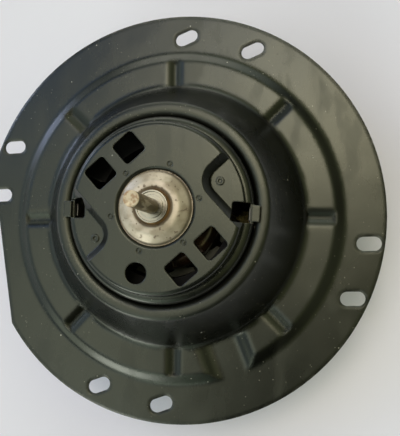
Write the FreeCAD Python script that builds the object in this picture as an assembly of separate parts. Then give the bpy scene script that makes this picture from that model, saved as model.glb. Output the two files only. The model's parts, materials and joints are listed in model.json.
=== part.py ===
import FreeCAD
import Part
import math
import os

# Car cabin blower motor with its round mounting flange. Millimetres, +Z along the shaft
# to its free end, +X along the right-hand rib. The origin is the centre of the flange's
# front seat face, so everything behind the flange has a negative Z.

V = FreeCAD.Vector
ORIGIN = V(0, 0, 0)
AXIS = V(0, 0, 1)

# Clearances
running_gap = 0.03
fit_gap = 0.05
body_gap = 0.3
air_gap = 0.7

# How far a cutter runs past the face that it opens
over = 1.0

# Mounting flange: one steel stamping
flange_radius = 98.0
flange_sheet = 1.2
step_height = 3.0
step_foot_radius = 79.6
step_run = 4.6
step_foot_bend = 2.2
step_top_bend = 1.6
dome_foot_radius = 61.8
dome_foot_bend = 3.5
dome_top_radius = 47.6
dome_height = 29.4
dome_top_bend = 2.0
collar_bend = 3.0
collar_depth = 9.4

# Flange ribs and drain channel, pressed down into the raised ring
rib_angles = [-0.5, 45.0, 91.0, 137.0, 182.0, 227.0, 271.2, 316.0]
rib_half_width = 3.1
rib_depth = 2.0
rib_edge_bend = 4.6
rib_root_bend = 0.8
rib_end_lap = 0.6
rib_end_run = 1.6
trough_lead = 0.4
channel_angle = 292.3
channel_half_floor = 7.3
channel_ramp = 4.1
channel_bend = 7.0

# Flange slots, in four pairs: middle angle, half the angle between the two, distance in from the rim,
# turn of the slot
slot_width = 6.4
slot_length = 11.2
slot_pairs = [
    (76.8, 11.0, 10.7, 22.5),
    (165.9, 8.0, 7.0, 2.5),
    (256.9, 10.2, 8.8, 21.5),
    (344.1, 8.2, 7.0, 2.0),
]

# Clearance flat at the flange's left edge
flat_cut = 8.0
flat_angle = 190.2
flat_upper_end = 17.2
flat_corner = 4.0

# Motor can: one drawn steel cup, its rear rim rolled in over the end cap
can_radius = 41.25
can_sheet = 1.8
plateau_height = 39.2
plateau_radius = 37.2
plateau_bend = 2.0
ledge_drop = 6.8
ledge_inner_radius = 37.7
ledge_inner_bend = 0.3
can_shoulder_bend = 3.2
can_rear = -52.0
rolled_rim_width = 4.4
rolled_rim_bend = 2.5
nose_hole_radius = 16.3
nose_edge_bend = 1.4

# Windows in the plateau: two pairs of rounded squares and one round hole
window_side = 10.9
window_corner = 1.6
window_pair_angle = 132.0
window_pair_radius = 27.2
window_pair_spacing = 16.4
round_hole_radius = 4.6
round_hole_angle = 255.2
round_hole_circle = 28.7

# Pockets beside the plateau: a rounded V sunk below it, open over the rim
pocket_depth = 3.9
pocket_wall_run = 3.2
pocket_tip = (16.4, 12.1)
pocket_upper_corner = (27.3, 22.4)
pocket_lower_corner = (34.1, -6.9)
pocket_tip_bend = 9.0
pocket_reach = 52.0
button_radius = 1.7
button_hole_radius = 0.8
button_height = 0.6
button_places = [(29.6, 23.3), (30.0, 206.0)]
ear_hole_inner = 32.3
ear_hole_outer = 42.6
ear_hole_width = 8.6
ear_hole_angles = [-2.2, 180.0]
ear_hole_corner = 1.0
ear_hole_drop = 3.0

# Keepers: two ears of the can's own sheet, pushed out over the flange's collar in those holes
keeper_inner = 40.2
keeper_outer = 43.7
keeper_width = 7.0
keeper_height = 2.1
keeper_clearance = 0.5

# Stakes that hold the bearing housing under the plateau
stake_count = 6
stake_first_angle = 11.5
stake_circle = 19.4
stake_radius = 1.1
stake_length = 2.6
stake_mark_radius = 1.15
stake_mark_core = 0.6
stake_mark_depth = 0.3
stake_root = 0.4

# Front bearing housing: a drawn, plated cup
housing_sheet = 1.2
housing_radius = 15.5
housing_mouth_radius = 7.4
housing_mouth_drop = 0.9
housing_crown_radius = 8.7
housing_crown_height = 3.5
housing_crown_width = 2.8
housing_crown_fall = 0.2
housing_shoulder_height = 0.4
housing_mouth_bend = 0.6
housing_crown_bend = 3.0
housing_shoulder_bend = 2.2
housing_foot_bend = 0.7
housing_flange_radius = 21.4

# Ball bearings, their felt wicks and spring retainers
ball_radius = 8.0
ball_half_length = 4.4
wick_radius = 13.2
wick_length = 2.4
retainer_sheet = 0.8
retainer_hole_radius = 7.0
retainer_radius = 21.0
retainer_dish_width = 3.5
retainer_dish = 0.5
retainer_bend = 1.0
rear_retainer_gap = 1.2
rear_retainer_flange = 2.8
rear_retainer_bend = 0.5
wick_gap = 0.05

# Shaft and what is pressed on it
shaft_radius = 3.175
shaft_tip = 73.3
shaft_chamfer = 0.3
slinger_seat_radius = 2.9
slinger_radius = 6.9
slinger_height = 1.2
slinger_rim_width = 0.7
slinger_hub_radius = 4.9
slinger_groove_depth = 0.6
washer_radius = 6.5
washer_thickness = 0.8
spacer_radius = 5.5

# Armature: slotted core, end insulators, windings
slot_count = 12
core_radius = 29.5
core_front = 16.0
core_length = 30.0
slot_mouth = 2.4
slot_lip = 1.9
slot_top_width = 8.4
slot_bottom_radius = 14.5
slot_bottom_width = 2.8
slot_bottom_bend = 1.0
slot_side_bend = 0.8
slot_shoulder = 1.2
insulator_thickness = 1.0
insulator_hub_length = 6.0
insulator_hub_radius = 9.0
winding_radius = 26.2
winding_bore = 10.0
winding_front_height = 9.6
winding_rear_height = 6.5
winding_bend = 3.6
winding_rear_bend = 2.9
winding_edge = 0.6
winding_inset = 0.35
winding_gap = 0.2
winding_groove = 1.6
winding_groove_start = 13.0

# Commutator
bar_count = 12
commutator_radius = 12.0
commutator_length = 14.0
bar_depth = 3.0
bar_gap = 0.6
riser_radius = 14.4
riser_length = 1.8
riser_share = 0.6
hub_rim = 0.4
hub_lip = 0.2

# Magnets and the spring clips between them
magnet_span = 130.0
magnet_length = 42.0
magnet_front = 24.0
clip_sheet = 0.8
clip_leg_length = 7.0
clip_height = 38.0
clip_inset = 2.0
ear_width = 5.6
ear_top = 27.0
ear_root = 4.0
ear_clearance = 0.2

# Rear end cap: one steel stamping
cap_sheet = 1.6
cap_dish_height = 4.9
cap_dish_radius = 30.5
cap_dish_run = 3.5
cap_cup_depth = 5.7
cap_bend = 1.2
cap_cup_mouth = 9.6
cap_cup_bend = 0.8
shaft_end_gap = 0.5
vent_inner = 18.4
vent_outer = 27.6
vent_span = 46.0
vent_count = 4

# Brush card and brush gear
card_radius = 33.0
card_bore = 16.5
card_thickness = 2.5
card_height = 9.0
boss_circle = 25.5
boss_radius = 3.6
rivet_radius = 1.5
rivet_head_radius = 3.0
rivet_head_height = 1.1
brush_width = 7.0
brush_height = 9.0
brush_length = 11.7
holder_wall = 0.7
holder_gap = 0.3
holder_inner_end = 15.2
holder_outer_end = 32.6
spring_wire = 0.35
spring_radius = 2.5
spring_turns = 5.0
lead_radius = 0.7
lead_hole_gap = 0.5
lead_side_gap = 3.6
lead_turn = 2.5
lead_bend = 8.0

# Terminal block with two blades, below the brush card
block_width = 24.0
block_height = 10.4
block_inner = 34.0
block_outer = 58.0
socket_width = 20.4
socket_height = 7.4
socket_depth = 14.0
block_corner = 1.2
blade_width = 6.3
blade_thickness = 0.8
blade_spacing = 11.2
blade_recess = 2.0
blade_inner = 30.0

# Sizes that follow from the ones above
annulus_foot = step_foot_radius - step_run
can_inner = can_radius - can_sheet
plateau_inside = plateau_height - can_sheet
ledge_height = plateau_height - ledge_drop
pocket_floor = plateau_height - pocket_depth
housing_crown = plateau_height + housing_crown_height
housing_mouth = housing_crown - housing_mouth_drop
housing_underside = plateau_inside - housing_sheet
front_ball = housing_mouth - math.sqrt(ball_radius ** 2 - housing_mouth_radius ** 2) - fit_gap
retainer_lift = math.sqrt(ball_radius ** 2 - retainer_hole_radius ** 2) + fit_gap
core_rear = core_front - core_length
winding_lift = insulator_thickness + winding_gap
magnet_inner = core_radius + air_gap
cap_rim_outside = can_rear + can_sheet
cap_rim_inside = cap_rim_outside + cap_sheet
cap_plate = cap_rim_inside + cap_dish_height
cap_radius = can_inner - max(fit_gap, rolled_rim_bend - can_sheet)
cap_cup_floor = cap_plate - cap_cup_depth
cap_cup_bottom = cap_cup_mouth - cap_cup_depth
rear_ball = cap_plate - cap_cup_mouth + (ball_radius + fit_gap) * math.sqrt(2)
shaft_end = cap_cup_floor + shaft_end_gap
card_bottom = cap_plate + card_height - card_thickness
card_top = cap_plate + card_height
brush_axis = card_top + holder_wall + holder_gap + brush_height / 2
brush_tip = commutator_radius + body_gap
brush_tail = brush_tip + brush_length
commutator_rear = rear_ball + ball_half_length + body_gap + washer_thickness + fit_gap
commutator_front = commutator_rear + commutator_length
block_top = card_bottom
block_bottom = block_top - block_height
block_middle = (block_top + block_bottom) / 2
trough_start = dome_foot_radius + trough_lead
trough_end = step_foot_radius + step_foot_bend
pocket_slope = pocket_wall_run / pocket_depth
stake_angles = [stake_first_angle + i * 360 / stake_count for i in range(stake_count)]
boss_angles = [45 + 90 * i for i in range(4)]


def flat(x, z):
    """A point of a section that is turned about the shaft."""
    return V(x, 0, z)


def plan(x, y):
    """A point of an outline seen along the shaft."""
    return V(x, y, 0)


def side(y, z):
    """A point of a section that is pulled along X."""
    return V(0, y, z)


def rounded_path(corners, closed=False):
    """Straight edges through corners of (point, radius), joined by tangent arcs."""
    count = len(corners)
    leaves = []
    enters = []
    arcs = []
    for i, (point, radius) in enumerate(corners):
        if radius < 0.02 or (not closed and i in (0, count - 1)):
            enters.append(point)
            leaves.append(point)
            arcs.append(None)
            continue
        back = (corners[i - 1][0] - point).normalize()
        on = (corners[(i + 1) % count][0] - point).normalize()
        half = back.getAngle(on) / 2
        cut = radius / math.tan(half)
        middle = (back + on).normalize()
        top = point + middle * (radius / math.sin(half) - radius)
        enters.append(point + back * cut)
        leaves.append(point + on * cut)
        arcs.append(Part.Arc(enters[-1], top, leaves[-1]).toShape())
    edges = []
    for i in range(count):
        if arcs[i]:
            edges.append(arcs[i])
        if i == count - 1 and not closed:
            break
        start = leaves[i]
        end = enters[(i + 1) % count]
        if (end - start).Length > 0.001:
            edges.append(Part.LineSegment(start, end).toShape())
    return edges


def offset_line(points, distance):
    """An open path of (a, b, radius) moved to its right by a distance."""
    moved = []
    last = len(points) - 1
    normals = []
    for start, end in zip(points, points[1:]):
        length = math.hypot(end[0] - start[0], end[1] - start[1])
        normals.append(((end[1] - start[1]) / length, -(end[0] - start[0]) / length))
    for i, (a, b, radius) in enumerate(points):
        if i in (0, last):
            n = normals[0] if i == 0 else normals[-1]
            moved.append((a + n[0] * distance, b + n[1] * distance, 0))
            continue
        n, m = normals[i - 1], normals[i]
        share = distance / (1 + n[0] * m[0] + n[1] * m[1])
        turn = n[0] * m[1] - n[1] * m[0]
        radius = max(0, radius + (distance if turn > 0 else -distance))
        moved.append((a + (n[0] + m[0]) * share, b + (n[1] + m[1]) * share, radius))
    return moved


def offset_loop(points, distance):
    """A closed clockwise path of (a, b, radius) moved inwards by a distance."""
    open_path = [points[-1]] + points + [points[0]]
    return offset_line(open_path, distance)[1:-1]


def face_of(edges):
    """A flat face inside a chain of edges."""
    return Part.Face(Part.Wire(edges))


def sheet_face(points, thickness, place=flat):
    """The section of a sheet whose upper side follows the path."""
    upper = [(place(a, b), r) for a, b, r in points]
    lower = [(place(a, b), r) for a, b, r in reversed(offset_line(points, thickness))]
    edges = rounded_path(upper)
    edges.append(Part.LineSegment(upper[-1][0], lower[0][0]).toShape())
    edges += rounded_path(lower)
    edges.append(Part.LineSegment(lower[-1][0], upper[0][0]).toShape())
    return face_of(edges)


def filled_face(points, floor, place=flat):
    """Everything between a path and a level below it."""
    upper = [(place(a, b), r) for a, b, r in points]
    corners = upper + [(place(points[-1][0], floor), 0), (place(points[0][0], floor), 0)]
    edges = rounded_path(upper)
    chain = [corners[len(upper) - 1][0], corners[-2][0], corners[-1][0], corners[0][0]]
    for start, end in zip(chain, chain[1:]):
        edges.append(Part.LineSegment(start, end).toShape())
    return face_of(edges)


def turned(face):
    """A section turned all the way round the shaft."""
    return face.revolve(ORIGIN, AXIS, 360)


def loop_face(points, height):
    """A face inside a closed rounded outline at a height."""
    face = face_of(rounded_path([(plan(a, b), r) for a, b, r in points], closed=True))
    face.translate(V(0, 0, height))
    return face


def prism(points, bottom, top):
    """A closed rounded outline pulled up from bottom to top."""
    return loop_face(points, bottom).extrude(V(0, 0, top - bottom))


def rectangle(x0, x1, y0, y1, radius=0):
    """The corners of a rectangle, clockwise."""
    return [(x0, y0, radius), (x0, y1, radius), (x1, y1, radius), (x1, y0, radius)]


def rotated(shape, degrees, centre=ORIGIN, axis=AXIS):
    """A turned copy."""
    copy = shape.copy()
    copy.rotate(centre, axis, degrees)
    return copy


def disc(radius, bottom, top):
    """A solid cylinder on the shaft axis."""
    return Part.makeCylinder(radius, top - bottom, V(0, 0, bottom))


def ring(outer, inner, bottom, top):
    """A ring on the shaft axis."""
    return disc(outer, bottom, top).cut(disc(inner, bottom - over, top + over))


def pin(radius, circle, angle, bottom, top):
    """A solid cylinder beside the shaft axis."""
    place = V(circle * math.cos(math.radians(angle)), circle * math.sin(math.radians(angle)), bottom)
    return Part.makeCylinder(radius, top - bottom, place)


def around(shape, count, first=0.0):
    """Turned copies, evenly spread round the shaft."""
    return [rotated(shape, first + i * 360 / count) for i in range(count)]


def sector(outer, inner, span, bottom, top, middle=0.0):
    """A piece of a ring over a span of degrees, round a middle angle."""
    points = [(math.radians(a), r) for a, r in ((-span / 2, inner), (-span / 2, outer))]
    start = [plan(r * math.cos(a), r * math.sin(a)) for a, r in points]
    end = [plan(p.x, -p.y) for p in start]
    edges = [
        Part.LineSegment(start[0], start[1]).toShape(),
        Part.Arc(start[1], plan(outer, 0), end[1]).toShape(),
        Part.LineSegment(end[1], end[0]).toShape(),
        Part.Arc(end[0], plan(inner, 0), start[0]).toShape(),
    ]
    face = face_of(edges)
    face.translate(V(0, 0, bottom))
    return rotated(face.extrude(V(0, 0, top - bottom)), middle)


def group(shapes):
    """Separate solids in one node."""
    return Part.makeCompound(shapes)


# Mounting flange
flange_path = [
    (can_radius, dome_height - collar_depth, 0),
    (can_radius, dome_height, collar_bend),
    (dome_top_radius, dome_height, dome_top_bend),
    (dome_foot_radius, step_height, dome_foot_bend),
    (annulus_foot, step_height, step_top_bend),
    (step_foot_radius, 0, step_foot_bend),
    (flange_radius, 0, 0),
]


def pressed_section(half_floor, ramp, depth, edge_bend, root_bend):
    """The upper side of a trough pressed down into the raised ring."""
    half = half_floor + ramp
    low = step_height - depth
    lead = over + edge_bend / 2
    points = [(-half - lead, step_height, 0), (-half, step_height, edge_bend)]
    if half_floor > 0:
        points += [(-half_floor, low, root_bend), (half_floor, low, root_bend)]
    else:
        points.append((0, low, root_bend))
    return points + [(half, step_height, edge_bend), (half + lead, step_height, 0)]


def closed_off(trough, drop, end):
    """A trough whose floor rises out of the raised ring at an end radius."""
    slope = rib_end_run / rib_depth
    ramp = [
        (can_radius, step_height - drop, 0),
        (end - drop * slope, step_height - drop, 0),
        (end + 2 * over * slope, step_height + 2 * over, 0),
    ]
    return trough.common(turned(filled_face(ramp, step_height + 3 * over)))


def press_trough(blank, section, angle, depth=0.0):
    """Presses a radial trough into the flange, closed off at the step if it has a depth there."""
    above = [(side(a, b), r) for a, b, r in section]
    below = [(side(a, b), r) for a, b, r in offset_line(section, flange_sheet)]
    tops = [(step_height + over, above), (step_height - flange_sheet / 2, below)]
    solids = []
    for (level, path), inner in zip(tops, (trough_start, trough_start - flange_sheet)):
        edges = rounded_path(path)
        chain = [path[-1][0], side(path[-1][0].y, level), side(path[0][0].y, level), path[0][0]]
        for p, q in zip(chain, chain[1:]):
            edges.append(Part.LineSegment(p, q).toShape())
        face = face_of(edges)
        face.translate(V(inner, 0, 0))
        solids.append(rotated(face.extrude(V(trough_end - inner, 0, 0)), angle))
    hollow, under = solids
    if depth > 0:
        end = step_foot_radius - step_run + rib_end_lap
        hollow = closed_off(hollow, depth + over, end)
        under = closed_off(under, depth + over + flange_sheet, end + flange_sheet)
    inside = turned(filled_face(flange_path[3:], -flange_sheet))
    return blank.fuse(under.common(inside)).cut(hollow)


mounting_flange = turned(sheet_face(flange_path, flange_sheet))
rib_section = pressed_section(0, rib_half_width, rib_depth, rib_edge_bend, rib_root_bend)
for angle in rib_angles:
    mounting_flange = press_trough(mounting_flange, rib_section, angle, rib_depth)
channel_section = pressed_section(channel_half_floor, channel_ramp, step_height, channel_bend, channel_bend)
mounting_flange = press_trough(mounting_flange, channel_section, channel_angle)


def slot_cutter(radius, angle, tilt):
    """One obround slot through the flange."""
    straight = (slot_length - slot_width) / 2
    outline = rectangle(-straight, straight, -slot_width / 2, slot_width / 2)
    through = (-flange_sheet - over, step_height + over)
    cutter = prism(outline, *through)
    for end in (0, 180):
        cutter = cutter.fuse(pin(slot_width / 2, straight, end, *through))
    cutter = rotated(cutter, tilt)
    cutter.translate(V(radius * math.cos(math.radians(angle)), radius * math.sin(math.radians(angle)), 0))
    return cutter


for middle, spread, inset, tilt in slot_pairs:
    for angle in (middle - spread, middle + spread):
        mounting_flange = mounting_flange.cut(slot_cutter(flange_radius - inset, angle, tilt))
flat_distance = flange_radius - flat_cut
flat_outline = [
    (flat_distance, -flat_upper_end, flat_corner),
    (flat_distance, flange_radius, 0),
    (flange_radius + over, flange_radius, 0),
    (flange_radius + over, -flat_upper_end, 0),
]
mounting_flange = mounting_flange.cut(rotated(prism(flat_outline, -flange_sheet - over, over), flat_angle))

# Motor can
can_path = [
    (nose_hole_radius, plateau_height, 0),
    (plateau_radius, plateau_height, plateau_bend),
    (ledge_inner_radius, ledge_height, ledge_inner_bend),
    (can_radius, ledge_height, can_shoulder_bend),
    (can_radius, can_rear, rolled_rim_bend),
    (can_radius - rolled_rim_width, can_rear, 0),
]
motor_can = turned(sheet_face(can_path, can_sheet))
nose_edge = [
    e for e in motor_can.Edges
    if e.Closed and abs(e.BoundBox.ZMin - plateau_height) < fit_gap
    and abs(e.BoundBox.XMax - nose_hole_radius) < fit_gap
]
motor_can = motor_can.makeFillet(nose_edge_bend, nose_edge)


def pocket_outline(inset):
    """The pocket's rounded V, clockwise, drawn in from the plateau's edge by an inset."""
    tip = V(pocket_tip[0], pocket_tip[1], 0)
    ends = []
    for corner in (pocket_lower_corner, pocket_upper_corner):
        arm = (V(corner[0], corner[1], 0) - tip).normalize()
        reach = (pocket_reach - pocket_tip[0]) / arm.x
        ends.append(tip + arm * reach)
    points = [(tip.x, tip.y, pocket_tip_bend), (ends[1].x, ends[1].y, 0), (ends[0].x, ends[0].y, 0)]
    return offset_loop(points, inset)


def frustum(low_outline, low, high_outline, high):
    """A solid between two like outlines at two heights."""
    wires = [loop_face(low_outline, low).OuterWire, loop_face(high_outline, high).OuterWire]
    return Part.makeLoft(wires, True, True)


def pocket_block(low, high, sheet=0.0):
    """The pocket between two heights, grown by a sheet's thickness behind its wall."""
    back = sheet * math.hypot(1, pocket_slope)
    loops = [pocket_outline(pocket_slope * (plateau_height - z) - back) for z in (low, high)]
    return frustum(loops[0], low, loops[1], high)


can_outline = [(0, plateau_height, 0)] + can_path[1:4] + [(can_radius, 0, 0)]
inside_can = turned(filled_face(can_outline, -over))
pocket_hollow = pocket_block(pocket_floor, plateau_height + over)
pocket_shell = pocket_block(pocket_floor - can_sheet, plateau_height - can_sheet / 2, can_sheet)
pocket_shell = pocket_shell.common(inside_can)
for turn in (0, 180):
    motor_can = motor_can.fuse(rotated(pocket_shell, turn))
for turn in (0, 180):
    motor_can = motor_can.cut(rotated(pocket_hollow, turn))
for circle, angle in button_places:
    button = pin(button_radius, circle, angle, pocket_floor - can_sheet / 2, pocket_floor + button_height)
    button_hole = pin(button_hole_radius, circle, angle, pocket_floor, plateau_height)
    motor_can = motor_can.fuse(button).cut(button_hole)

half_window = window_side / 2
window = prism(
    rectangle(-half_window, half_window, -half_window, half_window, window_corner),
    plateau_inside - over, plateau_height + over,
)
half_ear = ear_hole_width / 2
ear_hole = prism(
    rectangle(ear_hole_inner, ear_hole_outer, -half_ear, half_ear, ear_hole_corner),
    ledge_height - ear_hole_drop, plateau_height + over,
)
half_keeper = keeper_width / 2
keeper_bottom = ledge_height - ear_hole_drop
keeper_top = keeper_bottom + keeper_height
keeper_root = rectangle(keeper_inner, can_radius, -half_keeper, half_keeper)
keeper_lip = rectangle(keeper_inner, keeper_outer, -half_keeper, half_keeper, keeper_clearance)
keeper = prism(keeper_root, keeper_bottom, keeper_top)
keeper = keeper.fuse(prism(keeper_lip, dome_height + keeper_clearance, keeper_top))
for turn in (0, 180):
    for shift in (-window_pair_spacing / 2, window_pair_spacing / 2):
        cutter = window.copy()
        cutter.translate(V(window_pair_radius, shift, 0))
        motor_can = motor_can.cut(rotated(cutter, window_pair_angle + turn))
for angle in ear_hole_angles:
    motor_can = motor_can.cut(rotated(ear_hole, angle)).fuse(rotated(keeper, angle))
through_plateau = (plateau_inside - over, plateau_height + over)
motor_can = motor_can.cut(pin(round_hole_radius, round_hole_circle, round_hole_angle, *through_plateau))
for angle in stake_angles:
    dent = (plateau_height - stake_mark_depth, plateau_height + over)
    mark = pin(stake_mark_radius, stake_circle, angle, *dent)
    motor_can = motor_can.cut(mark.cut(pin(stake_mark_core, stake_circle, angle, *dent)))
    stake = pin(stake_radius, stake_circle, angle, plateau_inside - stake_length, plateau_inside + stake_root)
    motor_can = motor_can.fuse(stake)
half_block = block_width / 2
block_notch = rectangle(-half_block, half_block, -can_radius - over, -block_inner)
motor_can = motor_can.cut(prism(block_notch, block_bottom, block_top))

# Front bearing housing with its ball, wick and retainer
housing_shoulder = plateau_height + housing_shoulder_height
housing_path = [
    (housing_mouth_radius, housing_mouth, 0),
    (housing_crown_radius, housing_crown, housing_mouth_bend),
    (housing_crown_radius + housing_crown_width, housing_crown - housing_crown_fall, housing_crown_bend),
    (housing_radius, housing_shoulder, housing_shoulder_bend),
    (housing_radius, plateau_inside, housing_foot_bend),
    (housing_flange_radius, plateau_inside, 0),
]
front_bearing_housing = turned(sheet_face(housing_path, housing_sheet))
front_retainer_path = [
    (retainer_hole_radius, front_ball - retainer_lift, 0),
    (housing_radius - retainer_dish_width, housing_underside - retainer_dish, retainer_bend),
    (housing_radius, housing_underside, retainer_bend),
    (retainer_radius, housing_underside, 0),
]
front_bearing_retainer = turned(sheet_face(front_retainer_path, retainer_sheet))
through_housing = (housing_underside - retainer_sheet - over, plateau_inside + over)
for angle in stake_angles:
    hole = pin(stake_radius + fit_gap, stake_circle, angle, *through_housing)
    front_bearing_housing = front_bearing_housing.cut(hole)
    front_bearing_retainer = front_bearing_retainer.cut(hole)


def ball_bearing(middle):
    """A sintered ball with flat ends and a running bore."""
    ball = Part.makeSphere(ball_radius, V(0, 0, middle))
    ball = ball.common(disc(ball_radius + 1, middle - ball_half_length, middle + ball_half_length))
    return ball.cut(disc(shaft_radius + running_gap, middle - ball_radius, middle + ball_radius))


front_bearing = ball_bearing(front_ball)
rear_bearing = ball_bearing(rear_ball)
front_wick_bottom = housing_underside + wick_gap
front_oil_wick = ring(wick_radius, ball_radius + fit_gap, front_wick_bottom, front_wick_bottom + wick_length)
rear_wick_bottom = cap_plate + wick_gap
rear_oil_wick = ring(wick_radius, ball_radius + fit_gap, rear_wick_bottom, rear_wick_bottom + wick_length)

# Rear end cap and its retainer
cap_path = [
    (0, cap_cup_floor, 0),
    (cap_cup_bottom, cap_cup_floor, cap_cup_bend),
    (cap_cup_mouth, cap_plate, cap_bend),
    (cap_dish_radius, cap_plate, cap_bend + cap_sheet),
    (cap_dish_radius + cap_dish_run, cap_rim_inside, cap_bend),
    (cap_radius, cap_rim_inside, 0),
]
rear_end_cap = turned(sheet_face(cap_path, cap_sheet))
vent = sector(vent_outer, vent_inner, vent_span, cap_plate - cap_sheet - over, cap_plate + over)
for cutter in around(vent, vent_count):
    rear_end_cap = rear_end_cap.cut(cutter)
rear_retainer_top = rear_ball + retainer_lift + retainer_sheet
rear_retainer_radius = wick_radius + rear_retainer_gap
rear_retainer_path = [
    (retainer_hole_radius, rear_retainer_top, 0),
    (rear_retainer_radius, rear_retainer_top, retainer_bend),
    (rear_retainer_radius, cap_plate + retainer_sheet, rear_retainer_bend),
    (rear_retainer_radius + rear_retainer_flange, cap_plate + retainer_sheet, 0),
]
rear_bearing_retainer = turned(sheet_face(rear_retainer_path, retainer_sheet))

# Shaft and the pieces pressed on it
shaft = disc(shaft_radius, shaft_end, shaft_tip)
shaft_ends = [e for e in shaft.Edges if e.Closed and len(e.Vertexes) == 1]
shaft = shaft.makeChamfer(shaft_chamfer, shaft_ends)
slinger_bottom = front_ball + ball_half_length + body_gap
slinger_top = slinger_bottom + slinger_height
shaft = shaft.cut(ring(shaft_radius + over, slinger_seat_radius, slinger_bottom, slinger_top))
oil_slinger = ring(slinger_radius, slinger_seat_radius, slinger_bottom, slinger_top)
slinger_groove = ring(
    slinger_radius - slinger_rim_width, slinger_hub_radius,
    slinger_top - slinger_groove_depth, slinger_top + over,
)
oil_slinger = oil_slinger.cut(slinger_groove)
front_washer_top = front_ball - ball_half_length - body_gap
front_thrust_washer = ring(washer_radius, shaft_radius, front_washer_top - washer_thickness, front_washer_top)
rear_washer_bottom = rear_ball + ball_half_length + body_gap
rear_washer_top = rear_washer_bottom + washer_thickness
rear_thrust_washer = ring(washer_radius, shaft_radius, rear_washer_bottom, rear_washer_top)
spacer_bottom = core_front + insulator_thickness + insulator_hub_length
front_spacer = ring(spacer_radius, shaft_radius, spacer_bottom, front_washer_top - washer_thickness)


def slot_outline(inset=0.0):
    """The outline of one armature slot on the +X side, clockwise."""
    lip_start = core_radius - slot_lip
    lip_end = lip_start - slot_shoulder
    points = [
        (slot_bottom_radius, -slot_bottom_width / 2, slot_bottom_bend),
        (slot_bottom_radius, slot_bottom_width / 2, slot_bottom_bend),
        (lip_end, slot_top_width / 2, slot_side_bend),
        (lip_start, slot_mouth / 2, 0),
        (core_radius + over, slot_mouth / 2, 0),
        (core_radius + over, -slot_mouth / 2, 0),
        (lip_start, -slot_mouth / 2, 0),
        (lip_end, -slot_top_width / 2, slot_side_bend),
    ]
    if inset:
        points = offset_loop(points[:3] + points[7:], inset)
    return points


def slotted_disc(bottom, top):
    """A toothed armature plate with the shaft's bore."""
    plate = ring(core_radius, shaft_radius, bottom, top)
    cutter = prism(slot_outline(), bottom - over, top + over)
    return plate.cut(group(around(cutter, slot_count)))


# Armature
armature_core = slotted_disc(core_rear, core_front)
front_hub = ring(insulator_hub_radius, shaft_radius, core_front, spacer_bottom)
front_insulator = slotted_disc(core_front, core_front + insulator_thickness).fuse(front_hub)
rear_hub = ring(insulator_hub_radius, shaft_radius, commutator_front, core_rear)
rear_insulator = slotted_disc(core_rear - insulator_thickness, core_rear).fuse(rear_hub)


def coil_end(inner_level, outer_level, inner_bend, outer_bend):
    """The wound ring at one end of the core, with a shallow groove between the coils."""
    section = [
        (flat(winding_bore, inner_level), winding_edge),
        (flat(winding_bore, outer_level), inner_bend),
        (flat(winding_radius, outer_level), outer_bend),
        (flat(winding_radius, inner_level), winding_edge),
    ]
    wound = turned(face_of(rounded_path(section, closed=True)))
    half = winding_groove / 2
    low, high = sorted((outer_level, outer_level + math.copysign(winding_groove, inner_level - outer_level)))
    groove = prism(rectangle(winding_groove_start, winding_radius + over, -half, half), low, high)
    return wound.cut(group(around(groove, slot_count, 180 / slot_count)))


front_coil_base = core_front + winding_lift
rear_coil_base = core_rear - winding_lift
front_coil_top = front_coil_base + winding_front_height
armature_winding = coil_end(front_coil_base, front_coil_top, winding_bend, winding_bend)
rear_coil = coil_end(rear_coil_base, rear_coil_base - winding_rear_height, winding_edge, winding_rear_bend)
armature_winding = armature_winding.fuse(rear_coil)
coil_side = prism(slot_outline(winding_inset), rear_coil_base - over, front_coil_base + over)
for coil in around(coil_side, slot_count):
    armature_winding = armature_winding.fuse(coil)

# Commutator
hub_radius = commutator_radius - bar_depth
commutator_hub = ring(hub_radius, shaft_radius, commutator_rear, commutator_front)
bar_span = 360 / bar_count - math.degrees(bar_gap / commutator_radius)
bar_end = commutator_front - hub_lip
bar = sector(commutator_radius, hub_radius, bar_span, commutator_rear + hub_rim, bar_end)
riser = sector(riser_radius, hub_radius, bar_span * riser_share, bar_end - riser_length, bar_end)
commutator_bars = group(around(bar.fuse(riser), bar_count))

# Magnets and clips
magnet_rear = magnet_front - magnet_length
magnet_upper = sector(can_inner, magnet_inner, magnet_span, magnet_rear, magnet_front, 90)
magnet_lower = rotated(magnet_upper, 180)
clip_span = 180 - magnet_span
clip_top = magnet_front - clip_inset
clip_bottom = clip_top - clip_height
leg_span = math.degrees(clip_sheet / can_inner)
clip = sector(can_inner, can_inner - clip_sheet, clip_span, clip_bottom, clip_top)
for way in (-1, 1):
    middle = way * (clip_span - leg_span) / 2
    clip = clip.fuse(sector(can_inner, can_inner - clip_leg_length, leg_span, clip_bottom, clip_top, middle))
half_ear = ear_width / 2
ear = rectangle(can_inner - clip_sheet, can_inner - ear_clearance, -half_ear, half_ear)
ear = prism(ear, clip_top - ear_root, ear_top)
magnet_clip_right = clip.fuse(rotated(ear, ear_hole_angles[0]))
magnet_clip_left = rotated(clip, 180).fuse(rotated(ear, ear_hole_angles[1]))

# Brush card on four bosses, riveted through the end cap
brush_card = ring(card_radius, card_bore, card_bottom, card_top)
rivets = []
for angle in boss_angles:
    brush_card = brush_card.fuse(pin(boss_radius, boss_circle, angle, cap_plate, card_top))
for angle in boss_angles:
    hole = pin(rivet_radius + fit_gap, boss_circle, angle, cap_plate - cap_sheet - over, card_top + over)
    brush_card = brush_card.cut(hole)
    rear_end_cap = rear_end_cap.cut(hole)
    rivet = pin(rivet_radius, boss_circle, angle, cap_plate - cap_sheet, card_top)
    head_bottom = cap_plate - cap_sheet - rivet_head_height
    rivet = rivet.fuse(pin(rivet_head_radius, boss_circle, angle, head_bottom, cap_plate - cap_sheet))
    rivet = rivet.fuse(pin(rivet_head_radius, boss_circle, angle, card_top, card_top + rivet_head_height))
    rivets.append(rivet)
brush_card_rivets = group(rivets)

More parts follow.
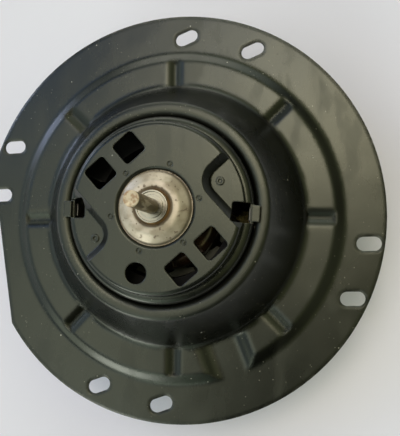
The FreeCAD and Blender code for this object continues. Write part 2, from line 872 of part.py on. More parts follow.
# Brush holders, brushes, springs and leads, right and left
half_width = brush_width / 2 + holder_gap
half_height = brush_height / 2 + holder_gap
box_length = holder_outer_end - holder_inner_end
holder = Part.makeBox(
    box_length, 2 * (half_width + holder_wall), 2 * (half_height + holder_wall),
    V(holder_inner_end, -half_width - holder_wall, brush_axis - half_height - holder_wall),
)
holder = holder.cut(Part.makeBox(
    box_length - holder_wall, 2 * half_width, 2 * half_height,
    V(holder_inner_end, -half_width, brush_axis - half_height),
))
lead_hole_start = V(holder_outer_end - holder_wall - over, 0, brush_axis)
lead_hole_run = holder_wall + 2 * over
lead_hole = Part.makeCylinder(lead_radius + lead_hole_gap, lead_hole_run, lead_hole_start, V(1, 0, 0))
brush_holder_right = holder.cut(lead_hole)
brush = Part.makeBox(
    brush_length, brush_width, brush_height,
    V(brush_tip, -brush_width / 2, brush_axis - brush_height / 2),
)
brush_right = brush.cut(disc(brush_tip, brush_axis - brush_height, brush_axis + brush_height))
spring_start = brush_tail + spring_wire
spring_run = holder_outer_end - holder_wall - spring_wire - spring_start
helix = Part.makeHelix(spring_run / spring_turns, spring_run, spring_radius)
coil_section = Part.Wire(Part.makeCircle(spring_wire, V(spring_radius, 0, 0), V(0, 1, 0)))
brush_spring_right = Part.Wire(helix.Edges).makePipeShell([coil_section], True, True)
brush_spring_right = rotated(brush_spring_right, 90, ORIGIN, V(0, 1, 0))
brush_spring_right.translate(V(spring_start, 0, brush_axis))

blade_end = blade_spacing / 2 + blade_width / 2
lead_level = block_middle
lead_route = [
    (V(brush_tail, 0, brush_axis), 0),
    (V(can_inner - lead_side_gap, 0, brush_axis), lead_turn),
    (V(can_inner - lead_side_gap, 0, lead_level), lead_turn),
    (V(31.5, -16.5, lead_level), lead_bend),
    (V(23.0, -28.0, lead_level), lead_bend),
    (V(15.5, -31.8, lead_level), lead_bend),
    (V(blade_end, -31.8, lead_level), 0),
]
lead_path = Part.Wire(rounded_path(lead_route))
lead_section = Part.Wire(Part.makeCircle(lead_radius, lead_route[0][0], V(1, 0, 0)))
brush_lead_right = lead_path.makePipeShell([lead_section], True, False)
mirror_plane = V(1, 0, 0)
brush_holder_left = rotated(brush_holder_right, 180)
brush_left = rotated(brush_right, 180)
brush_spring_left = rotated(brush_spring_right, 180)
brush_lead_left = brush_lead_right.mirror(ORIGIN, mirror_plane)

# Terminal block with its two blades
block_outline = rectangle(-half_block, half_block, -block_outer, -block_inner, block_corner)
block_body = prism(block_outline, block_bottom, block_top)
socket = Part.makeBox(
    socket_width, socket_depth + over, socket_height,
    V(-socket_width / 2, -block_outer - over, block_middle - socket_height / 2),
)
terminal_block = block_body.cut(socket)
blades = []
for way in (-1, 1):
    blade_side = way * blade_spacing / 2 - blade_width / 2
    blade = Part.makeBox(
        blade_width, block_outer - blade_recess - blade_inner, blade_thickness,
        V(blade_side, -block_outer + blade_recess, block_middle - blade_thickness / 2),
    )
    terminal_block = terminal_block.cut(blade)
    blades.append(blade)
terminal_negative, terminal_positive = blades

nodes = {
    "mounting_flange": mounting_flange,
    "motor_can": motor_can,
    "front_bearing_housing": front_bearing_housing,
    "front_bearing": front_bearing,
    "front_oil_wick": front_oil_wick,
    "front_bearing_retainer": front_bearing_retainer,
    "rear_end_cap": rear_end_cap,
    "rear_bearing": rear_bearing,
    "rear_oil_wick": rear_oil_wick,
    "rear_bearing_retainer": rear_bearing_retainer,
    "shaft": shaft,
    "oil_slinger": oil_slinger,
    "front_thrust_washer": front_thrust_washer,
    "rear_thrust_washer": rear_thrust_washer,
    "front_spacer": front_spacer,
    "armature_core": armature_core,
    "front_insulator": front_insulator,
    "rear_insulator": rear_insulator,
    "armature_winding": armature_winding,
    "commutator_hub": commutator_hub,
    "commutator_bars": commutator_bars,
    "magnet_upper": magnet_upper,
    "magnet_lower": magnet_lower,
    "magnet_clip_right": magnet_clip_right,
    "magnet_clip_left": magnet_clip_left,
    "brush_card": brush_card,
    "brush_card_rivets": brush_card_rivets,
    "brush_holder_right": brush_holder_right,
    "brush_holder_left": brush_holder_left,
    "brush_right": brush_right,
    "brush_left": brush_left,
    "brush_spring_right": brush_spring_right,
    "brush_spring_left": brush_spring_left,
    "brush_lead_right": brush_lead_right,
    "brush_lead_left": brush_lead_left,
    "terminal_block": terminal_block,
    "terminal_positive": terminal_positive,
    "terminal_negative": terminal_negative,
}

os.makedirs("parts", exist_ok=True)
for name, shape in nodes.items():
    solids = shape.Solids
    whole = solids[0] if len(solids) == 1 else shape
    whole.exportStep("parts/" + name + ".step")
    print(name, len(solids), "valid" if whole.isValid() else "NOT VALID", round(whole.Volume, 1))
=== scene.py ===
"""The looks of a car cabin blower motor: its finishes, the studio and the camera."""

import json
import logging
import math
from dataclasses import dataclass
from enum import Enum
from typing import Dict, Optional, Tuple, Union

import bmesh
import bpy
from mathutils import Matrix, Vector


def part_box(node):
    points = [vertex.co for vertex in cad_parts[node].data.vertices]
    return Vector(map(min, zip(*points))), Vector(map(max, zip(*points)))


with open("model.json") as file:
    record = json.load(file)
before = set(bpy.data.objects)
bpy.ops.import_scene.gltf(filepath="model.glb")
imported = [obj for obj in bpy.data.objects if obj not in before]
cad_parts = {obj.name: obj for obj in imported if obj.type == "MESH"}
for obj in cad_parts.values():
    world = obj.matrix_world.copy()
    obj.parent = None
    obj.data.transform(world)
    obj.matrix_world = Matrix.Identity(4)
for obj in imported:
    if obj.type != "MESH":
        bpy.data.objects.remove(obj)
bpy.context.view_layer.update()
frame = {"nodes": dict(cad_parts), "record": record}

Triple = Tuple[float, float, float]
Colour = Tuple[float, float, float, float]
Key = Union[int, str]
Value = Union["Port", float, Tuple[float, ...]]

STRAIGHT: Triple = (0, 0, 0)
EVEN: Triple = (1, 1, 1)
BEVEL_SAMPLES = 6
CHANCE_EDGE = 0.02
# The share of a speck's or a glow's reach, from its middle, that is at full strength.
SPECK_HEART = 0.4
GLOW_HEART = 0.35
# The scale at which a wave texture's bands lie one metre apart.
BAND_SCALE = 0.314

log = logging.getLogger("blower_motor")


class Slot(Enum):
    """The material slots of the record."""

    PAINT = "black_paint"
    ZINC = "zinc_plate"
    SPRING = "spring_steel"
    SHAFT = "shaft_steel"
    CORE = "core_steel"
    BRONZE = "sintered_bronze"
    BRASS = "brass_sheet"
    COPPER = "copper"
    WIRE = "magnet_wire"
    FERRITE = "ferrite"
    CARBON = "carbon"
    FELT = "felt"
    RESIN = "black_resin"
    NYLON = "insulating_plastic"


@dataclass(frozen=True)
class Cloud:
    """A cloudy mask: noise with clouds of one size in metres, stepped softly between two of its levels."""

    size: float
    detail: float
    low: float
    high: float
    turn: Triple = STRAIGHT
    stretch: Triple = EVEN


@dataclass(frozen=True)
class Scatter:
    """Scattered specks: how far apart in metres, how large a share of that, and how many places have one."""

    spread: float
    reach: float
    share: float


class Port:
    """One output socket, with Python's operators for the shader maths."""

    def __init__(self, recipe: "Recipe", socket: bpy.types.NodeSocket) -> None:
        """Keeps the socket and the recipe that it belongs to."""
        self.recipe = recipe
        self.socket = socket

    def _maths(self, operation: str, first: Value, second: Value) -> "Port":
        """Adds a Math node.

        Args:
            operation: The Math node's operation.
            first: The first number or port.
            second: The second number or port.

        Returns:
            The result's port.
        """
        return self.recipe.add("ShaderNodeMath", {"operation": operation}, {0: first, 1: second})

    def __add__(self, other: Value) -> "Port":
        """self + other."""
        return self._maths("ADD", self, other)

    def __radd__(self, other: Value) -> "Port":
        """other + self."""
        return self._maths("ADD", other, self)

    def __sub__(self, other: Value) -> "Port":
        """self - other."""
        return self._maths("SUBTRACT", self, other)

    def __rsub__(self, other: Value) -> "Port":
        """other - self."""
        return self._maths("SUBTRACT", other, self)

    def __mul__(self, other: Value) -> "Port":
        """self * other."""
        return self._maths("MULTIPLY", self, other)

    def __rmul__(self, other: Value) -> "Port":
        """other * self."""
        return self._maths("MULTIPLY", other, self)


class Recipe:
    """The nodes of one material, or of the room, under construction."""

    def __init__(self, owner: Union[bpy.types.Material, bpy.types.World]) -> None:
        """Starts with no nodes.

        Args:
            owner: The material or world that the nodes are for.
        """
        self.owner = owner
        owner.use_nodes = True
        self.tree = owner.node_tree
        self.tree.nodes.clear()

    def add(self, kind: str, settings: Dict[str, object], sockets: Dict[Key, Value], output: Key = 0) -> Port:
        """Adds any node.

        Args:
            kind: The node's type.
            settings: The node's own properties, which are set first.
            sockets: Values or ports for the inputs.
            output: The output to return.

        Returns:
            The port of that output.
        """
        node = self.tree.nodes.new(kind)
        for name, value in settings.items():
            setattr(node, name, value)
        for key, value in sockets.items():
            if isinstance(value, Port):
                self.tree.links.new(value.socket, node.inputs[key])
            else:
                node.inputs[key].default_value = value
        return Port(self, node.outputs[output])

    def place(self, turn: Triple = STRAIGHT, stretch: Triple = EVEN) -> Port:
        """Object coordinates.

        Args:
            turn: A turn of the pattern, in radians.
            stretch: A scale along each axis.

        Returns:
            The coordinates' port.
        """
        point = self.add("ShaderNodeTexCoord", {}, {}, "Object")
        return self.add("ShaderNodeMapping", {}, {"Vector": point, "Rotation": turn, "Scale": stretch})

    def height(self) -> Port:
        """The height above the flange, in metres."""
        return self.add("ShaderNodeSeparateXYZ", {}, {0: self.place()}, "Z")

    def radius(self) -> Port:
        """The distance from the shaft's axis, in metres."""
        flat = self.place(STRAIGHT, (1, 1, 0))
        return self.add("ShaderNodeVectorMath", {"operation": "LENGTH"}, {0: flat}, "Value")

    def noise(self, size: float, detail: float = 2.0, place: Optional[Port] = None) -> Port:
        """Cloudy noise.

        Args:
            size: The size of one cloud, in metres.
            detail: How many finer layers it has.
            place: Other coordinates than the object's.

        Returns:
            A number around 0.5.
        """
        sockets = {"Vector": place or self.place(), "Scale": 1 / size, "Detail": detail}
        return self.add("ShaderNodeTexNoise", {}, sockets)

    def cells(self, size: float, output: str = "Distance") -> Port:
        """Voronoi cells.

        Args:
            size: The size of one cell, in metres.
            output: The Voronoi output to return.

        Returns:
            The output's port.
        """
        return self.add("ShaderNodeTexVoronoi", {}, {"Vector": self.place(), "Scale": 1 / size}, output)

    def rise(self, value: Port, low: float, high: float) -> Port:
        """A soft step from 0 at low to 1 at high, or falling where low is the larger."""
        return self.add("ShaderNodeMapRange", {"interpolation_type": "SMOOTHSTEP"},
                        {"Value": value, "From Min": low, "From Max": high})

    def cloud(self, cloud: Cloud) -> Port:
        """A cloudy mask, from 0 to 1."""
        place = self.place(cloud.turn, cloud.stretch)
        return self.rise(self.noise(cloud.size, cloud.detail, place), cloud.low, cloud.high)

    def scatter(self, scatter: Scatter) -> Port:
        """A mask of specks, 1 on them and 0 elsewhere."""
        chance = self.add("ShaderNodeSeparateColor", {}, {0: self.cells(scatter.spread, "Color")})
        chosen = self.rise(chance, 1 - scatter.share, 1 + CHANCE_EDGE - scatter.share)
        return self.rise(self.cells(scatter.spread), scatter.reach, scatter.reach * SPECK_HEART) * chosen

    def blend(self, mask: Value, under: Value, over: Value) -> Port:
        """A colour between under and over, by the mask."""
        return self.add("ShaderNodeMix", {"data_type": "RGBA"}, {0: mask, 6: under, 7: over}, 2)

    def rounded(self, radius: float) -> Port:
        """Normals that round the edges by a radius in metres."""
        return self.add("ShaderNodeBevel", {"samples": BEVEL_SAMPLES}, {"Radius": radius})

    def edge_mask(self, soft: Port, low: float, high: float) -> Port:
        """A mask of the edges, from how far a rounded normal leaves the true one."""
        true = self.add("ShaderNodeNewGeometry", {}, {}, "True Normal")
        agreement = self.add("ShaderNodeVectorMath", {"operation": "DOT_PRODUCT"}, {0: soft, 1: true}, "Value")
        return self.rise(1 - agreement, low, high)

    def relief(self, height: Port, depth: float, normal: Port) -> Port:
        """Bumps of a depth in metres on a normal."""
        return self.add("ShaderNodeBump", {}, {"Strength": 1.0, "Distance": depth, "Height": height, "Normal": normal})

    def finish(self, sockets: Dict[Key, Value]) -> bpy.types.Material:
        """Closes the material with its shader.

        Args:
            sockets: The inputs of the Principled shader.

        Returns:
            The material.
        """
        self.close("ShaderNodeOutputMaterial", self.add("ShaderNodeBsdfPrincipled", {}, sockets))
        return self.owner

    def close(self, kind: str, shader: Port) -> None:
        """Links a shader to an output node.

        Args:
            kind: The output node's type.
            shader: The shader's port.
        """
        self.tree.links.new(shader.socket, self.tree.nodes.new(kind).inputs["Surface"])


@dataclass(frozen=True)
class BlackPaint:
    """Satin black paint on pressed sheet, with dust and smears, and pale thin edges that are partly rubbed paint and
    partly a painted highlight.
    """

    name: str = "satin_black_paint"
    film: Colour = (0.002, 0.0021, 0.0015, 1)
    dust: Colour = (0.085, 0.08, 0.062, 1)
    speck: Colour = (0.42, 0.4, 0.34, 1)
    grit: Colour = (0.16, 0.15, 0.12, 1)
    # The pale edge colour: partly rubbed paint, partly a painted highlight along the sheet's edges.
    edge: Colour = (0.12, 0.115, 0.095, 1)
    gloss: Colour = (0.94, 1.0, 0.81, 1)
    roughness: float = 0.26
    edge_radius: float = 0.0025
    haze: Cloud = Cloud(0.05, 4, 0.42, 0.75)
    haze_cover: float = 0.06
    haze_matt: float = 0.05
    smear: Cloud = Cloud(0.02, 5, 0.55, 0.8, (0, 0, 0.9), (1, 0.25, 1))
    smear_cover: float = 0.08
    smear_matt: float = 0.07
    blotch: Cloud = Cloud(0.011, 6, 0.52, 0.66, (0, 0, 0.6), (1, 0.45, 1))
    blotch_matt: float = 0.05
    specks: Scatter = Scatter(0.006, 0.07, 0.35)
    speck_matt: float = 0.3
    grits: Scatter = Scatter(0.0021, 0.16, 0.5)
    dusty_places: Cloud = Cloud(0.03, 3, 0.42, 0.62)
    rubbed_and_highlit_places: Cloud = Cloud(0.004, 3, 0.35, 0.65)
    pale_edge_start: float = 0.02
    pale_edge_full: float = 0.25
    rub_and_highlight_cover: float = 0.5
    sag_size: float = 0.022
    peel_size: float = 0.0016
    peel_share: float = 0.06
    depth: float = 0.00022

    def make(self) -> bpy.types.Material:
        """Builds the material."""
        mix = Recipe(bpy.data.materials.new(self.name))
        soft = mix.rounded(self.edge_radius)
        haze = mix.cloud(self.haze)
        smear = mix.cloud(self.smear)
        specks = mix.scatter(self.specks)
        # Pale thin edges: partly rubbed paint, partly a painted highlight that stands in for the bright lines light
        # draws along the edges.
        rubbed_and_highlit = mix.edge_mask(soft, self.pale_edge_start, self.pale_edge_full) * mix.cloud(self.rubbed_and_highlit_places)
        colour = mix.blend(haze * self.haze_cover, self.film, self.dust)
        colour = mix.blend(smear * self.smear_cover, colour, self.dust)
        colour = mix.blend(rubbed_and_highlit * self.rub_and_highlight_cover, colour, self.edge)
        dusty = mix.cloud(self.dusty_places)
        colour = mix.blend(mix.scatter(self.grits) * dusty, colour, self.grit)
        colour = mix.blend(specks, colour, self.speck)
        blotch = mix.cloud(self.blotch)
        marks = self.roughness + haze * self.haze_matt + smear * self.smear_matt
        peel = mix.noise(self.peel_size, 2)
        sag = mix.noise(self.sag_size, 1)
        return mix.finish({
            "Base Color": colour,
            "Roughness": marks + blotch * self.blotch_matt + specks * self.speck_matt,
            "Specular Tint": self.gloss,
            "Normal": mix.relief(peel * self.peel_share + sag, self.depth, soft),
        })


@dataclass(frozen=True)
class ZincPlate:
    """Dull zinc plate, yellowed, with brown specks of rust and darker brown round the shaft's mouth."""

    name: str = "yellowed_zinc_plate"
    metal: Colour = (0.52, 0.45, 0.34, 1)
    dull: Colour = (0.36, 0.3, 0.21, 1)
    rust: Colour = (0.1, 0.055, 0.028, 1)
    mouth: Colour = (0.1, 0.072, 0.042, 1)
    mouth_inside: float = 0.0079
    mouth_outside: float = 0.0096
    mouth_cover: float = 0.75
    roughness: float = 0.45
    metallic: float = 0.45
    edge_radius: float = 0.0004
    clouds: Cloud = Cloud(0.006, 5, 0.4, 0.68)
    cloud_matt: float = 0.12
    stains: Cloud = Cloud(0.0022, 4, 0.6, 0.7)
    stain_cover: float = 0.7
    specks: Scatter = Scatter(0.0016, 0.25, 0.3)
    rust_metal: float = 0.35
    rust_matt: float = 0.3
    rust_height: float = 0.4
    grain: float = 0.0012
    depth: float = 0.00005

    def make(self) -> bpy.types.Material:
        """Builds the material."""
        mix = Recipe(bpy.data.materials.new(self.name))
        soft = mix.rounded(self.edge_radius)
        cloud = mix.cloud(self.clouds)
        stain = mix.cloud(self.stains) * self.stain_cover
        brown = mix.add("ShaderNodeMath", {"operation": "MAXIMUM"}, {0: stain, 1: mix.scatter(self.specks)})
        # Darker brown round the shaft: full within 7.9 mm of its axis, fading out by 9.6 mm.
        mouth = mix.rise(mix.radius(), self.mouth_outside, self.mouth_inside)
        colour = mix.blend(cloud, self.metal, self.dull)
        colour = mix.blend(mouth * self.mouth_cover, colour, self.mouth)
        colour = mix.blend(brown, colour, self.rust)
        return mix.finish({
            "Base Color": colour,
            "Metallic": self.metallic - brown * self.rust_metal,
            "Roughness": self.roughness + cloud * self.cloud_matt + brown * self.rust_matt,
            "Normal": mix.relief(mix.noise(self.grain, 3) + brown * self.rust_height, self.depth, soft),
        })


@dataclass(frozen=True)
class TurnedSteel:
    """Ground or rolled steel, with fine rings round its axis and a share of brown rust."""

    name: str
    metal: Colour = (0.6, 0.58, 0.55, 1)
    rust: Colour = (0.2, 0.1, 0.045, 1)
    cover: float = 0.2
    roughness: float = 0.25
    edge_radius: float = 0.0003
    groove: float = 0.00035
    groove_stretch: float = 0.02
    groove_height: float = 0.4
    pit: Colour = (0.07, 0.035, 0.02, 1)
    pits: Cloud = Cloud(0.0007, 3, 0.5, 0.7)
    pit_cover: float = 0.6
    rust_size: float = 0.004
    rust_stretch: float = 0.5
    clean_low: float = 0.72
    clean_high: float = 0.78
    low_fall: float = 0.55
    high_fall: float = 0.4
    rust_metal: float = 0.75
    rust_matt: float = 0.35
    depth: float = 0.00003

    def make(self) -> bpy.types.Material:
        """Builds the material."""
        mix = Recipe(bpy.data.materials.new(self.name))
        soft = mix.rounded(self.edge_radius)
        low = self.clean_low - self.cover * self.low_fall
        high = self.clean_high - self.cover * self.high_fall
        coat = mix.cloud(Cloud(self.rust_size, 5, low, high, stretch=(1, 1, self.rust_stretch)))
        pits = mix.cloud(self.pits)
        along = mix.place(STRAIGHT, (self.groove_stretch, self.groove_stretch, 1))
        rings = mix.noise(self.groove, 2, along)
        colour = mix.blend(coat, self.metal, self.rust)
        colour = mix.blend(coat * pits * self.pit_cover, colour, self.pit)
        return mix.finish({
            "Base Color": colour,
            "Metallic": 1 - coat * self.rust_metal,
            "Roughness": self.roughness + coat * self.rust_matt,
            "Normal": mix.relief(rings * self.groove_height + coat * pits, self.depth, soft),
        })


@dataclass(frozen=True)
class RustyShaft:
    """Olive-brown rust on a ground shaft, with streaks of bare steel and a paler sawn tip."""

    name: str = "rusty_shaft_steel"
    rust: Colour = (0.1, 0.073, 0.033, 1)
    light_rust: Colour = (0.22, 0.16, 0.075, 1)
    steel: Colour = (0.52, 0.47, 0.34, 1)
    tip: Colour = (0.54, 0.45, 0.3, 1)
    tip_stain: Colour = (0.3, 0.17, 0.075, 1)
    tip_height: float = 0.0731
    tip_edge: float = 0.0004
    tones: Cloud = Cloud(0.003, 5, 0.38, 0.66, stretch=(1, 1, 0.4))
    streaks: Cloud = Cloud(0.0022, 4, 0.54, 0.64, stretch=(1, 1, 0.2))
    streak_cover: float = 0.8
    streak_metal: float = 0.5
    streak_polish: float = 0.16
    streak_height: float = 0.3
    mottles: Cloud = Cloud(0.0016, 4, 0.44, 0.6)
    mottle_cover: float = 0.8
    tip_metal: float = 0.15
    metallic: float = 0.25
    roughness: float = 0.48
    edge_radius: float = 0.0003
    grain: float = 0.0007
    depth: float = 0.00007

    def make(self) -> bpy.types.Material:
        """Builds the material."""
        mix = Recipe(bpy.data.materials.new(self.name))
        soft = mix.rounded(self.edge_radius)
        tone = mix.cloud(self.tones)
        bare = mix.cloud(self.streaks)
        sawn = mix.rise(mix.height(), self.tip_height - self.tip_edge, self.tip_height)
        mottle = mix.cloud(self.mottles)
        body = mix.blend(bare * self.streak_cover, mix.blend(tone, self.rust, self.light_rust), self.steel)
        face = mix.blend(mottle * self.mottle_cover, self.tip, self.tip_stain)
        return mix.finish({
            "Base Color": mix.blend(sawn, body, face),
            "Metallic": self.metallic + bare * self.streak_metal - sawn * self.tip_metal,
            "Roughness": self.roughness - bare * self.streak_polish,
            "Normal": mix.relief(mix.noise(self.grain, 4) + bare * self.streak_height, self.depth, soft),
        })


@dataclass(frozen=True)
class StackedSheet:
    """The edges of thin steel sheets in a stack, each a little out of line."""

    name: str = "stacked_core_sheet"
    metal: Colour = (0.32, 0.31, 0.3, 1)
    varnish: Colour = (0.1, 0.06, 0.03, 1)
    gap: Colour = (0.03, 0.03, 0.03, 1)
    sheet: float = 0.0005
    waver: float = 0.4
    gap_cover: float = 0.35
    stains: Cloud = Cloud(0.006, 4, 0.4, 0.65)
    stain_cover: float = 0.8
    stain_matt: float = 0.2
    metallic: float = 0.85
    roughness: float = 0.38
    edge_radius: float = 0.0002
    depth: float = 0.00006

    def make(self) -> bpy.types.Material:
        """Builds the material."""
        mix = Recipe(bpy.data.materials.new(self.name))
        bands = {"wave_type": "BANDS", "bands_direction": "Z", "wave_profile": "SIN"}
        sockets = {"Vector": mix.place(), "Scale": BAND_SCALE / self.sheet, "Distortion": self.waver, "Detail": 1.0}
        layers = mix.add("ShaderNodeTexWave", bands, sockets, 1)
        stain = mix.cloud(self.stains)
        colour = mix.blend(stain * self.stain_cover, self.metal, self.varnish)
        return mix.finish({
            "Base Color": mix.blend(layers * self.gap_cover, colour, self.gap),
            "Metallic": self.metallic,
            "Roughness": self.roughness + stain * self.stain_matt,
            "Normal": mix.relief(layers, self.depth, mix.rounded(self.edge_radius)),
        })


@dataclass(frozen=True)
class PressedMetal:
    """A plain bare metal: brass sheet, copper or porous bronze, cloudy and a little tarnished."""

    name: str
    metal: Colour
    tarnish: Colour
    roughness: float = 0.3
    grain: float = 0.0008
    depth: float = 0.00002
    tarnish_share: float = 0.5
    tarnish_size: float = 0.005
    clean_low: float = 0.75
    low_fall: float = 0.4
    clean_high: float = 0.8
    tarnish_metal: float = 0.3
    tarnish_matt: float = 0.25
    edge_radius: float = 0.0002

    def make(self) -> bpy.types.Material:
        """Builds the material."""
        mix = Recipe(bpy.data.materials.new(self.name))
        low = self.clean_low - self.tarnish_share * self.low_fall
        cloud = mix.cloud(Cloud(self.tarnish_size, 5, low, self.clean_high))
        return mix.finish({
            "Base Color": mix.blend(cloud, self.metal, self.tarnish),
            "Metallic": 1 - cloud * self.tarnish_metal,
            "Roughness": self.roughness + cloud * self.tarnish_matt,
            "Normal": mix.relief(mix.noise(self.grain, 3), self.depth, mix.rounded(self.edge_radius)),
        })


@dataclass(frozen=True)
class Moulding:
    """Moulded resin or nylon, with a fine matt grain, or pressed carbon and ferrite with a coarser one."""

    name: str
    body: Colour
    light: Colour
    roughness: float = 0.5
    grain: float = 0.0009
    depth: float = 0.00003
    metallic: float = 0.0
    shine: float = 0.5
    clouds: Cloud = Cloud(0.008, 4, 0.35, 0.75)
    cloud_cover: float = 0.7
    cloud_matt: float = 0.12
    speck_spread: float = 1.5
    speck_reach: float = 0.25
    speck_share: float = 0.25
    speck_cover: float = 0.3
    edge_radius: float = 0.0003

    def make(self) -> bpy.types.Material:
        """Builds the material."""
        mix = Recipe(bpy.data.materials.new(self.name))
        cloud = mix.cloud(self.clouds)
        specks = mix.scatter(Scatter(self.grain * self.speck_spread, self.speck_reach, self.speck_share))
        light = cloud * self.cloud_cover + specks * self.speck_cover
        return mix.finish({
            "Base Color": mix.blend(light, self.body, self.light),
            "Metallic": self.metallic,
            "Roughness": self.roughness + cloud * self.cloud_matt,
            "Specular IOR Level": self.shine,
            "Normal": mix.relief(mix.noise(self.grain, 3), self.depth, mix.rounded(self.edge_radius)),
        })


@dataclass(frozen=True)
class EnamelledWire:
    """Copper wire under brown-orange enamel."""

    name: str = "enamelled_wire"
    copper: Colour = (0.06, 0.032, 0.014, 1)
    dark: Colour = (0.02, 0.012, 0.007, 1)
    tones: Cloud = Cloud(0.006, 3, 0.35, 0.7)
    tone_matt: float = 0.1
    metallic: float = 0.55
    roughness: float = 0.26
    enamel: float = 0.6
    enamel_roughness: float = 0.15
    edge_radius: float = 0.0001
    grain: float = 0.0009
    depth: float = 0.00002

    def make(self) -> bpy.types.Material:
        """Builds the material."""
        mix = Recipe(bpy.data.materials.new(self.name))
        tone = mix.cloud(self.tones)
        return mix.finish({
            "Base Color": mix.blend(tone, self.copper, self.dark),
            "Metallic": self.metallic,
            "Roughness": self.roughness + tone * self.tone_matt,
            "Coat Weight": self.enamel,
            "Coat Roughness": self.enamel_roughness,
            "Normal": mix.relief(mix.noise(self.grain, 2), self.depth, mix.rounded(self.edge_radius)),
        })


@dataclass(frozen=True)
class Felt:
    """Oil-soaked wool felt."""

    name: str = "oiled_felt"
    wool: Colour = (0.4, 0.33, 0.2, 1)
    oil: Colour = (0.14, 0.1, 0.05, 1)
    fibre: float = 0.0004
    fibre_turn: Triple = (0.4, 0.3, 0.6)
    fibre_stretch: Triple = (1, 0.3, 1)
    soaks: Cloud = Cloud(0.004, 3, 0.35, 0.65)
    soak_cover: float = 0.8
    soak_polish: float = 0.3
    roughness: float = 0.85
    edge_radius: float = 0.0002
    depth: float = 0.00012

    def make(self) -> bpy.types.Material:
        """Builds the material."""
        mix = Recipe(bpy.data.materials.new(self.name))
        fibres = mix.noise(self.fibre, 5, mix.place(self.fibre_turn, self.fibre_stretch))
        soaked = mix.cloud(self.soaks)
        return mix.finish({
            "Base Color": mix.blend(soaked * self.soak_cover, self.wool, self.oil),
            "Roughness": self.roughness - soaked * self.soak_polish,
            "Normal": mix.relief(fibres, self.depth, mix.rounded(self.edge_radius)),
        })


@dataclass(frozen=True)
class Paper:
    """The pale sheet that the motor stands on."""

    name: str = "pale_paper"
    white: Colour = (0.79, 0.77, 0.84, 1)
    shade: Colour = (0.74, 0.72, 0.79, 1)
    shades: Cloud = Cloud(0.25, 2, 0.35, 0.7)
    roughness: float = 0.75
    wave_size: float = 0.12
    depth: float = 0.0008

    def make(self) -> bpy.types.Material:
        """Builds the material."""
        mix = Recipe(bpy.data.materials.new(self.name))
        normal = mix.add("ShaderNodeNewGeometry", {}, {}, "Normal")
        return mix.finish({
            "Base Color": mix.blend(mix.cloud(self.shades), self.white, self.shade),
            "Roughness": self.roughness,
            "Normal": mix.relief(mix.noise(self.wave_size, 1), self.depth, normal),
        })


FINISHES = {
    Slot.PAINT: BlackPaint(),
    Slot.ZINC: ZincPlate(),
    Slot.SPRING: TurnedSteel(
        "dull_spring_steel", (0.11, 0.11, 0.1, 1), (0.045, 0.034, 0.025, 1), cover=0.3, roughness=0.42,
    ),
    Slot.SHAFT: RustyShaft(),
    Slot.CORE: StackedSheet(),
    Slot.BRONZE: PressedMetal(
        "porous_bronze", (0.5, 0.33, 0.16, 1), (0.16, 0.1, 0.05, 1), roughness=0.45, grain=0.0003, depth=0.00004,
    ),
    Slot.BRASS: PressedMetal("brass_strip", (0.78, 0.6, 0.28, 1), (0.36, 0.24, 0.1, 1), roughness=0.25),
    Slot.COPPER: PressedMetal("bare_copper", (0.8, 0.42, 0.24, 1), (0.3, 0.13, 0.06, 1), roughness=0.24),
    Slot.WIRE: EnamelledWire(),
    Slot.FERRITE: Moulding(
        "ground_ferrite", (0.008, 0.008, 0.009, 1), (0.02, 0.02, 0.02, 1), roughness=0.7, grain=0.0006, shine=0.12,
    ),
    Slot.CARBON: Moulding(
        "pressed_carbon", (0.035, 0.034, 0.034, 1), (0.12, 0.075, 0.05, 1),
        roughness=0.48, grain=0.0004, depth=0.00002, metallic=0.3,
    ),
    Slot.FELT: Felt(),
    Slot.RESIN: Moulding("black_resin", (0.02, 0.02, 0.02, 1), (0.045, 0.043, 0.04, 1), roughness=0.42),
    Slot.NYLON: Moulding(
        "grey_olive_nylon", (0.06, 0.06, 0.045, 1), (0.1, 0.1, 0.078, 1), roughness=0.6, shine=0.2,
    ),
}

OWN_FINISHES = {
    "oil_slinger": TurnedSteel(
        "bright_slinger_steel", (0.23, 0.22, 0.18, 1), (0.09, 0.075, 0.045, 1), cover=0.08, roughness=0.22,
    ),
    "motor_can": BlackPaint("satin_black_can_paint", edge_radius=0.0007),
}


class Finishes:
    """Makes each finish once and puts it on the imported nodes."""

    def __init__(self) -> None:
        """Makes every finish of the record's slots, and those that one node has for itself."""
        self.by_slot = {slot: finish.make() for slot, finish in FINISHES.items()}
        self.by_node = {name: finish.make() for name, finish in OWN_FINISHES.items()}

    def dress(self, name: str, slot: Slot) -> None:
        """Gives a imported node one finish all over.

        Args:
            name: The node's name.
            slot: The slot that the record gives it.
        """
        piece = frame["nodes"][name]
        piece.data.materials.clear()
        piece.data.materials.append(self.by_node.get(name, self.by_slot[slot]))
        log.info("node %s wears %s", name, slot.value)

    def dress_nodes(self) -> None:
        """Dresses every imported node."""
        for entry in frame["record"]["subparts"]:
            self.dress(entry["node"], Slot(entry["material_slot"]))


@dataclass(frozen=True)
class Glow:
    """One soft lamp or lit wall far from the motor: where it is and how wide, in degrees, and its light."""

    turn: float
    lift: float
    reach: float
    colour: Triple

    def shine(self, sky: Recipe, way: Port) -> Port:
        """Its light over the room.

        Args:
            sky: The room's recipe.
            way: The direction that is looked in.

        Returns:
            Its light as a vector.
        """
        turn, lift, reach = (math.radians(angle) for angle in (self.turn, self.lift, self.reach))
        axis = (math.cos(lift) * math.cos(turn), math.cos(lift) * math.sin(turn), math.sin(lift))
        near = sky.add("ShaderNodeVectorMath", {"operation": "DOT_PRODUCT"}, {0: way, 1: axis}, "Value")
        share = sky.rise(near, math.cos(reach), math.cos(reach * GLOW_HEART))
        return sky.add("ShaderNodeVectorMath", {"operation": "SCALE"}, {0: self.colour, "Scale": share})


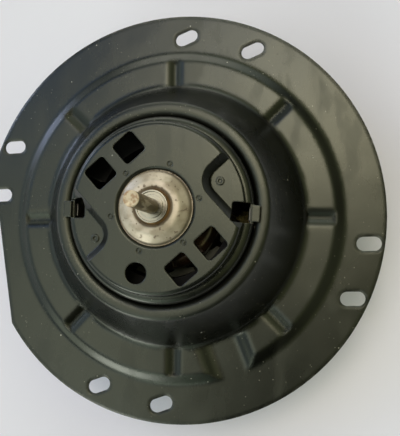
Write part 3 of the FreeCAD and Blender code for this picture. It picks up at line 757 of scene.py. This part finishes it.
@dataclass
class Studio:
    """The floor and the room's soft lamps."""

    floor_half: float = 3.0
    floor_cells: int = 24
    backdrop: Colour = (0.72, 0.72, 0.7, 1)
    unlit: Triple = (0.0, 0.0, 0.0)
    glows: Tuple[Glow, ...] = (
        Glow(120, 75, 11, (4.7, 4.1, 3.1)),
        Glow(80, 75, 11, (6.4, 5.5, 4.7)),
        Glow(100, 5, 24, (1.28, 1.05, 1.0)),
        Glow(240, 5, 16, (6.3, 6.3, 6.4)),
        Glow(220, 60, 11, (1.95, 2.1, 2.17)),
        Glow(150, 5, 11, (3.9, 4.5, 7.3)),
        Glow(244, 40, 16, (2.6, 2.9, 2.74)),
        Glow(187, 50, 36, (0.33, 0.42, 0.52)),
        Glow(170, 5, 55, (0.7, 0.81, 0.83)),
        Glow(110, 68, 11, (1.6, 1.7, 2.8)),
        Glow(60, 60, 36, (0.83, 0.85, 0.55)),
        Glow(175, 72, 16, (1.0, 1.05, 1.0)),
        Glow(200, 68, 16, (1.15, 1.05, 0.75)),
        Glow(255, 20, 24, (0.58, 0.74, 0.6)),
        Glow(340, 40, 36, (0.34, 0.36, 0.22)),
        Glow(225, 5, 24, (1.43, 1.57, 1.3)),
        Glow(34, 30, 24, (0.3, 0.31, 0.2)),
        Glow(94, 12, 36, (1.34, 1.5, 1.42)),
        Glow(144, 50, 16, (0.38, 0.65, 1.58)),
        Glow(320, 68, 16, (0.44, 0.48, 0.2)),
    )

    def floor(self) -> bpy.types.Object:
        """Lays the floor under the motor's lowest point."""
        level = min(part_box(name)[0].z for name in frame["nodes"])
        form = bmesh.new()
        bmesh.ops.create_grid(form, x_segments=self.floor_cells, y_segments=self.floor_cells, size=self.floor_half)
        bmesh.ops.translate(form, verts=form.verts, vec=(0, 0, level))
        mesh = bpy.data.meshes.new("studio_floor")
        form.to_mesh(mesh)
        form.free()
        floor = bpy.data.objects.new("studio_floor", mesh)
        bpy.context.scene.collection.objects.link(floor)
        mesh.materials.append(Paper().make())
        return floor

    def room(self) -> bpy.types.World:
        """Lights the room by its glows, and shows the camera a plain pale backdrop."""
        world = bpy.data.worlds.new("studio_room")
        sky = Recipe(world)
        way = sky.add("ShaderNodeTexCoord", {}, {}, "Generated")
        light: Value = self.unlit
        for glow in self.glows:
            light = sky.add("ShaderNodeVectorMath", {"operation": "ADD"}, {0: light, 1: glow.shine(sky, way)})
        seen = sky.add("ShaderNodeLightPath", {}, {}, "Is Camera Ray")
        colour = sky.blend(seen, light, self.backdrop)
        sky.close("ShaderNodeOutputWorld", sky.add("ShaderNodeBackground", {}, {"Color": colour}))
        bpy.context.scene.world = world
        return world

    def build(self) -> None:
        """Sets up the floor and the room."""
        self.floor()
        self.room()


@dataclass(frozen=True)
class PhotographView:
    """The camera where the photograph was taken from."""

    station: Triple = (0.07029746, -0.02572633, 0.30271329)
    turns: Triple = (4.81617666, 10.77530809, 1.33733984)
    lens: float = 53.669725
    sensor: float = 36.0
    nearest: float = 0.01
    furthest: float = 20.0

    def build(self) -> bpy.types.Object:
        """Sets up the camera and makes it the scene's."""
        camera = bpy.data.cameras.new("photograph_view")
        camera.lens = self.lens
        camera.sensor_width = camera.sensor_height = self.sensor
        camera.sensor_fit = "AUTO"
        camera.clip_start, camera.clip_end = self.nearest, self.furthest
        holder = bpy.data.objects.new("photograph_view", camera)
        holder.location = self.station
        holder.rotation_euler = tuple(math.radians(turn) for turn in self.turns)
        bpy.context.scene.collection.objects.link(holder)
        bpy.context.scene.camera = holder
        return holder


def main() -> None:
    """Builds the camera, the studio and the looks."""
    logging.basicConfig(level=logging.INFO)
    PhotographView().build()
    Studio().build()
    bpy.context.scene.view_settings.view_transform = "Standard"
    Finishes().dress_nodes()


if __name__ == "__main__":
    main()
